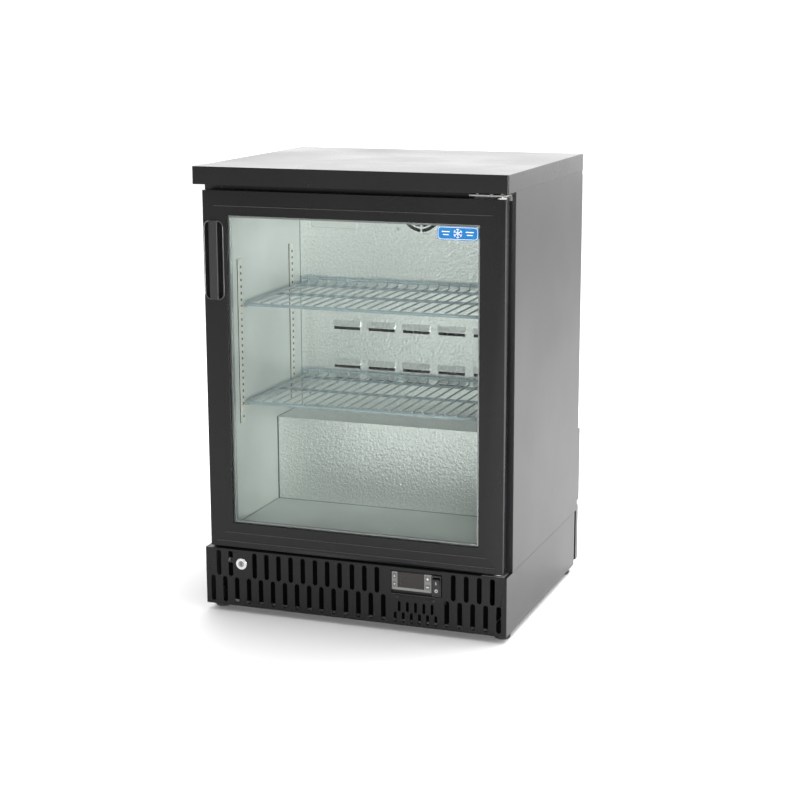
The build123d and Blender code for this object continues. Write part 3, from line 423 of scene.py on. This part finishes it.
# ---------------------------------------------------------------- pieces
class Solid:
    """Mesh under construction, in millimetres."""

    def __init__(self):
        self.points = []
        self.faces = []

    def loops(self, loops, cap=True):
        """Skin through closed loops of equal length."""
        base = len(self.points)
        count = len(loops[0])
        for loop in loops:
            self.points.extend(loop)
        for level in range(len(loops) - 1):
            low = base + level * count
            for i in range(count):
                j = (i + 1) % count
                self.faces.append((low + i, low + j, low + count + j, low + count + i))
        if cap:
            self.faces.append(tuple(base + i for i in reversed(range(count))))
            top = base + (len(loops) - 1) * count
            self.faces.append(tuple(top + i for i in range(count)))
        return self

    def outline(self, outline, y_front, y_back, edge=0.0):
        """Slab from an (x, z) outline facing the front, with a chamfered front edge."""
        cx = sum(p[0] for p in outline) / len(outline)
        cz = sum(p[1] for p in outline) / len(outline)

        def level(y, inset):
            loop = []
            for x, z in outline:
                away = math.hypot(x - cx, z - cz) or 1.0
                shrink = (away - inset) / away
                loop.append((cx + (x - cx) * shrink, y, cz + (z - cz) * shrink))
            return loop

        levels = [level(y_front, edge), level(y_back, 0)]
        if edge:
            levels.insert(1, level(y_front + edge, 0))
        return self.loops(levels)

    def tube(self, path, radius, sides=10):
        """Round bead along a path of points."""
        loops = []
        for index, place in enumerate(path):
            before = Vector(path[max(index - 1, 0)])
            after = Vector(path[min(index + 1, len(path) - 1)])
            turn = (after - before).to_track_quat("Z", "Y")
            loop = []
            for k in range(sides):
                angle = 2 * math.pi * k / sides
                offset = turn @ Vector((radius * math.cos(angle), radius * math.sin(angle), 0))
                loop.append(tuple(Vector(place) + offset))
            loops.append(loop)
        return self.loops(loops)

    def lathe(self, place, axis, profile, sides=24, ripple=None):
        """Turn (radius, height) points about an axis; ripple(level, index) scales the radius."""
        turn = Vector(axis).to_track_quat("Z", "Y")
        loops = []
        for level, (radius, height) in enumerate(profile):
            loop = []
            for k in range(sides):
                angle = 2 * math.pi * k / sides
                reach = radius * (ripple(level, k) if ripple else 1.0)
                offset = turn @ Vector((reach * math.cos(angle), reach * math.sin(angle), height))
                loop.append(tuple(Vector(place) + offset))
            loops.append(loop)
        return self.loops(loops)

    def finish(self, name, body, slot, finish, smooth=False, replaces=()):
        """Make the object, dress it and put it on its body."""
        mesh = bpy.data.meshes.new(name)
        mesh.from_pydata([tuple(c * MM for c in p) for p in self.points], [], self.faces)
        work = bmesh.new()
        work.from_mesh(mesh)
        bmesh.ops.recalc_face_normals(work, faces=work.faces)
        work.to_mesh(mesh)
        work.free()
        mesh.materials.append(MATERIALS[finish])
        item = bpy.data.objects.new(name, mesh)
        bpy.context.collection.objects.link(item)
        if smooth:
            mesh.shade_smooth()
            split = item.modifiers.new("split", "EDGE_SPLIT")
            split.split_angle = math.radians(38)
        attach(item, body)
        if replaces:
            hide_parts(*replaces)
        return item


def rounded(x, z, radius, steps=5):
    """Rounded rectangle outline between the pairs x and z."""
    outline = []
    corners = ((x[1], z[1], 0), (x[0], z[1], 90), (x[0], z[0], 180), (x[1], z[0], 270))
    for cx, cz, start in corners:
        mx = cx - radius if cx == x[1] else cx + radius
        mz = cz - radius if cz == z[1] else cz + radius
        for k in range(steps + 1):
            angle = math.radians(start + 90 * k / steps)
            outline.append((mx + radius * math.cos(angle), mz + radius * math.sin(angle)))
    return outline


def disc(x, z, radius, sides=20):
    """Round outline centred on (x, z)."""
    angles = [2 * math.pi * k / sides for k in range(sides)]
    return [(x + radius * math.cos(angle), z + radius * math.sin(angle)) for angle in angles]


def turned_bar(x, z, length, width, angle):
    """Thin round-cornered bar outline centred on (x, z) and turned by angle degrees."""
    turn = math.radians(angle)
    bar = rounded((-length / 2, length / 2), (-width / 2, width / 2), width * 0.45, 2)
    return [(x + px * math.cos(turn) - pz * math.sin(turn), z + px * math.sin(turn) + pz * math.cos(turn))
            for px, pz in bar]


def ring_loops(x, z, corner, section, shrink=1.0):
    """Loops of a rounded frame: each (inset, y) of the section moves the outline in."""
    loops = []
    for inset, y in section:
        pair_x, pair_z = (x[0] + inset, x[1] - inset), (z[0] + inset, z[1] - inset)
        outline = rounded(pair_x, pair_z, max(corner[0] - inset * shrink, 1.0), corner[1])
        loops.append([(px, y, pz) for px, pz in outline])
    return loops + loops[:1]


# Places shared by several pieces, in millimetres
GLASS_FACE = -239.5
RAIL_FACE = -242.1
GRILLE_FACE = -247.3
COVER_FACE = 129.0
STEP_FACE = 3.6
STEP_LEDGE = 327.4
CAVITY_HALF = 257.6
CAVITY_FLOOR = 159.4
CAVITY_TOP = 777.6
CAVITY_FRONT = -204.0
STRIP_ROWS = (-160.0, 80.0)
STRIP_Z = (350.0, 665.0)
BOTH_SIDES = (-1, 1)


def glass_label():
    """Plain blue label with a snowflake and four bars, stuck on the pane."""
    x, z = (164.0, 240.0), (727.5, 751.5)
    face, raised = GLASS_FACE - 0.25, GLASS_FACE - 0.33
    Solid().outline(rounded(x, z, 7.0), face, GLASS_FACE, 0.1).finish("label", "door", "glass", "label_blue")
    mark = Solid()
    border_y = GLASS_FACE - 0.32
    outer = rounded((x[0] + 1.2, x[1] - 1.2), (z[0] + 1.2, z[1] - 1.2), 6.0)
    inner = rounded((x[0] + 2.0, x[1] - 2.0), (z[0] + 2.0, z[1] - 2.0), 5.4)
    rings = ((outer, face), (outer, border_y), (inner, border_y), (inner, face))
    skin = [[(px, y, pz) for px, pz in ring] for ring, y in rings]
    mark.loops(skin + skin[:1], cap=False)
    cx, cz = (x[0] + x[1]) / 2, (z[0] + z[1]) / 2
    for angle in (30, 90, 150):
        mark.outline(turned_bar(cx, cz, 17.0, 1.3, angle), raised, face)
    tip, twig = 5.4, 1.5
    for angle in range(30, 390, 60):
        turn = math.radians(angle)
        for lean in (-50, 50):
            side = math.radians(angle + lean)
            bx = cx + tip * math.cos(turn) + twig * math.cos(side)
            bz = cz + tip * math.sin(turn) + twig * math.sin(side)
            mark.outline(turned_bar(bx, bz, 3.6, 1.0, angle + lean), raised, face)
    for side in BOTH_SIDES:
        for dz, length in ((2.6, 15.0), (-2.6, 11.0)):
            mark.outline(turned_bar(cx + side * 22, cz + dz, length, 1.6, 0), raised, face)
    mark.finish("label_mark", "door", "glass", "label_white")


def rail_beads():
    """Half-round trim lines along the door's rails, in a lighter, glossier finish than the profile: a
    painted highlight.
    """
    beads = Solid()
    for z, half in ((773.0, 266.0), (156.0, 258.0), (138.5, 276.0)):
        beads.tube([(-half, RAIL_FACE, z), (half, RAIL_FACE, z)], 0.85)
    beads.finish("rail_beads", "door", "door_profile", "bead_highlight_paint", smooth=True)


def gasket():
    """Bellows gasket: a foot, two folds and a flat magnet face."""
    section = [
        (0.0, -220.0), (0.0, -218.6), (1.6, -217.6), (0.4, -216.2), (1.4, -214.8), (0.6, -213.6),
        (1.0, -212.0), (13.6, -212.0), (14.2, -213.6), (13.2, -214.8), (14.4, -216.2), (13.0, -217.6),
        (15.0, -218.6), (15.0, -220.0),
    ]
    loops = ring_loops((-275, 275), (142, 795), (8.0, 5), section, 0.45)
    Solid().loops(loops, cap=False).finish(
        "gasket_bellows", "door", "gasket_rubber", "gasket_rubber", smooth=True, replaces=["door_gasket"])


def handle_details():
    """Scooped floors of the handle's two lobes and the raised rim round it, whose lighter, glossier finish
    is a painted glint.
    """
    centre, grip_half = -268.25, 8.8
    scoop_z = (603.0, 742.0)
    deep, rise, back = -229.5, 7.0, -226.1
    steps = 8
    scoop = Solid()
    for low, high in ((-287.0, centre - grip_half), (centre + grip_half, -249.5)):
        section = []
        for k in range(steps + 1):
            t = k / steps
            section.append((low + (high - low) * t, deep - rise * (2 * t - 1) ** 4))
        section.extend([(high, back), (low, back)])
        scoop.loops([[(px, py, z) for px, py in section] for z in scoop_z])
    scoop.finish("handle_scoops", "door", "handle_plastic", "handle_plastic", smooth=True)
    section = [(0.0, -241.9), (0.0, -242.9), (0.7, -243.5), (1.5, -242.9), (1.5, -241.9)]
    rim = Solid().loops(ring_loops((-287.9, -248.6), (599.4, 745.6), (12.6, 8), section), cap=False)
    rim.finish("handle_rim", "door", "handle_plastic", "rim_glint_paint", smooth=True)


BUTTON_MARKS = {
    1: (84.2, 106.5, "up"), 2: (84.2, 91.0, "down"),
    3: (148.6, 106.5, "dot"), 4: (148.6, 91.0, "bar"),
}


def mark_outline(x, z, kind):
    """Outline of a button's symbol: a dot, a bar or an arrow head."""
    if kind == "dot":
        return disc(x, z, 2.1)
    if kind == "bar":
        return turned_bar(x, z, 5.4, 1.8, 0)
    point = 1.9 if kind == "up" else -1.9
    return [(x - 1.7, z - point * 0.7), (x + 1.7, z - point * 0.7), (x, z + point)]


def controller_marks():
    """Raised symbols on the four buttons and three lamps behind the display."""
    for number, (x, z, kind) in BUTTON_MARKS.items():
        edge = 0.1 if kind == "dot" else 0.0
        mark = Solid().outline(mark_outline(x, z, kind), GRILLE_FACE - 0.25, GRILLE_FACE + 0.1, edge)
        mark.finish(f"button_mark_{number}", f"button_{number}", "silver_plastic", "mark_white")
    lamps = Solid()
    for z in (108.5, 101.0, 93.5):
        lamps.outline(disc(96.0, z, 1.1, 12), -246.85, -246.5, 0.1)
    lamps.finish("display_lamps", "cabinet", "display_window", "mark_dark")


def rocker_marks():
    """Line and ring moulded on the rocker's upper and lower halves."""
    pivot_y, pivot_z, tilt = -240.0, 95.0, math.radians(7)
    middle, line_up, ring_up = 165.5, 7.5, -7.5
    crown, fall, half = -248.4, 1.8, 14.6
    proud, depth = 0.12, 0.3

    def lay(x, u):
        """Point on the rocker's face at distance u above the pivot."""
        rise = (crown - fall * abs(u) / half) - proud - pivot_y
        return (x, pivot_y + rise * math.cos(tilt) - u * math.sin(tilt),
                pivot_z + u * math.cos(tilt) + rise * math.sin(tilt))

    def sink(loop):
        return [(x, y + depth, z) for x, y, z in loop]

    marks = Solid()
    line = [lay(middle + dx, line_up + dz) for dx, dz in ((-0.6, -3), (0.6, -3), (0.6, 3), (-0.6, 3))]
    marks.loops([line, sink(line)])
    outer = [lay(middle + px, ring_up + pz) for px, pz in disc(0, 0, 3.0)]
    inner = [lay(middle + px, ring_up + pz) for px, pz in disc(0, 0, 1.9)]
    marks.loops([outer, inner, sink(inner), sink(outer), outer], cap=False)
    marks.finish("rocker_marks", "rocker", "black_plastic", "mark_white")


def screw_heads(name, places, axis, radius, slot, finish):
    """Domed heads with a cross recess."""
    profile = [(1.0, 0.0), (1.0, 0.18), (0.85, 0.42), (0.55, 0.55), (0.55, 0.55), (0.3, 0.25)]
    recess_level = 4
    sides = 24

    def cross(level, index):
        return 1.0 if level < recess_level or index % (sides // 4) == 0 else 0.42

    heads = Solid()
    for place in places:
        heads.lathe(place, axis, [(r * radius, h * radius) for r, h in profile], sides, cross)
    heads.finish(name, "cabinet", slot, finish)


def fasteners():
    """Screws of the evaporator cover, the rear covers and the back, and the hinge rivets."""
    cover = [(x, COVER_FACE, z) for x, z in ((-45, 697), (45, 697), (-240, 352), (240, 352))]
    screw_heads("cover_screws", cover, (0, -1, 0), 3.4, "zinc_plate", "zinc_plate")
    columns = (-286, -95, 95, 286)
    rear = [(x, 260.0, z) for x in columns for z in (150, 281)]
    rear += [(x, 256.0, z) for x in columns for z in (26, 122)]
    screw_heads("rear_cover_screws", rear, (0, 1, 0), 3.6, "black_steel", "dull_plate")
    back = [(x, 240.0, 800.0) for x in (-250, 0, 250)]
    screw_heads("back_screws", back, (0, 1, 0), 3.6, "galvanised_steel", "dull_plate")
    dome = [(4.2, 0.0), (4.0, 1.0), (2.8, 1.9), (1.2, 2.3)]
    rivets = Solid()
    for x in (237.0, 262.0):
        rivets.lathe((x, -238.0, 809.0), (0, 0, 1), dome)
    rivets.finish("hinge_rivets", "cabinet", "zinc_plate", "zinc_plate", smooth=True)


def liner_seams():
    """Sealant beads in the liner's corners, and painted shade: dark lines beside the step and the strips."""
    corner_y = COVER_FACE - 0.4
    seams = Solid()
    for side in BOTH_SIDES:
        x = side * CAVITY_HALF
        seams.tube([(x, STEP_FACE, STEP_LEDGE), (x, corner_y, STEP_LEDGE)], 0.9, 8)
        seams.tube([(x, corner_y, STEP_LEDGE), (x, corner_y, CAVITY_TOP)], 0.9, 8)
        seams.tube([(x, CAVITY_FRONT, CAVITY_FLOOR), (x, STEP_FACE, CAVITY_FLOOR)], 0.8, 8)
        seams.tube([(x, CAVITY_FRONT, CAVITY_TOP), (x, corner_y, CAVITY_TOP)], 0.8, 8)
    seams.tube([(-CAVITY_HALF, STEP_FACE, CAVITY_FLOOR), (CAVITY_HALF, STEP_FACE, CAVITY_FLOOR)], 0.9, 8)
    seams.finish("liner_seams", "cabinet", "liner_sheet", "sealant", smooth=True)
    # Painted shade: dark tubes where the step meets the walls and along both edges of each strip
    shade_strokes = Solid()
    for side in BOTH_SIDES:
        x = side * CAVITY_HALF
        shade_strokes.tube([(x, STEP_FACE - 0.2, CAVITY_FLOOR), (x, STEP_FACE - 0.2, STEP_LEDGE + 0.2)], 1.3, 8)
    for side in BOTH_SIDES:
        x = side * (CAVITY_HALF + 0.2)
        for row in STRIP_ROWS:
            for y in (row - 7.6, row + 7.6):
                shade_strokes.tube([(x, y, STRIP_Z[0]), (x, y, STRIP_Z[1])], 0.9, 8)
    shade_strokes.finish("liner_painted_shade", "cabinet", "liner_sheet", "shade_paint", smooth=True)


def pilaster_slot_shade():
    """Painted shade: dark plates on the mouths of the clip slots in the four strips."""
    strip_face, depth = 254.9, 0.5
    count, first, pitch = 24, 362.0, 12.5
    mouth = rounded((0.6, 4.6), (-2.6, 2.6), 1.2, 3)
    mouth_shadows = Solid()
    for side in BOTH_SIDES:
        for row in STRIP_ROWS:
            for step in range(count):
                z = first + pitch * step
                faces = (side * strip_face, side * (strip_face + depth))
                mouth_shadows.loops([[(x, row + py, z + pz) for py, pz in mouth] for x in faces])
    mouth_shadows.finish("pilaster_slot_shade", "cabinet", "zinc_plate", "shade_paint")


def dark_baffle():
    """Painted shade: a black baffle behind the slotted front, cut round the controls, that keeps the slots
    dark; and a painted highlight along the cut-out's edge.
    """
    low, high, under_controls = 16.0, 122.0, 71.0
    pad = Solid()
    for x, top in (((-262.0, 76.0), high), ((76.0, 180.0), under_controls), ((180.0, 262.0), high)):
        pad.outline(rounded(x, (low, top), 1.5, 2), -221.0, -218.0, 0.5)
    pad.finish("dark_baffle", "cabinet", "black_plastic", "baffle_shade")
    # Painted highlight: a light line along the lower edge of the cut-out
    edge = Solid().tube([(77.5, GRILLE_FACE, 73.2), (176.0, GRILLE_FACE, 73.2)], 0.55, 8)
    edge.finish("cutout_highlight", "cabinet", "black_steel", "bead_highlight_paint", smooth=True)


def feet():
    """Fluted pads on threaded studs, one per levelling foot."""
    def flutes(level, index):
        """Cut every other facet of the pad's rim back a little."""
        return 0.93 if 2 <= level <= 4 and index % 2 else 1.0

    pad = [
        (12.6, 0.0), (13.6, 0.6), (15.0, 2.0), (15.0, 6.0),
        (14.0, 7.6), (9.6, 9.6), (9.0, 12.4), (6.0, 12.6),
    ]
    crest, root, pitch, turns = 4.0, 3.3, 1.5, 17
    thread = []
    for k in range(turns):
        thread.extend([(crest, 12.8 + pitch * k), (root, 13.5 + pitch * k)])
    for row, y in (("front", -212.0), ("rear", 196.0)):
        for side, x in (("left", -281.0), ("right", 281.0)):
            foot = Solid().lathe((x, y, 0), (0, 0, 1), pad + thread, 36, flutes)
            foot.finish(
                f"levelling_foot_{row}_{side}", f"foot_{row}_{side}", "black_plastic", "black_plastic",
                replaces=[f"foot_{row}_{side}"])


camera()
studio()
dress_all()
glass_label()
rail_beads()
gasket()
handle_details()
controller_marks()
rocker_marks()
fasteners()
liner_seams()
pilaster_slot_shade()
dark_baffle()
feet()
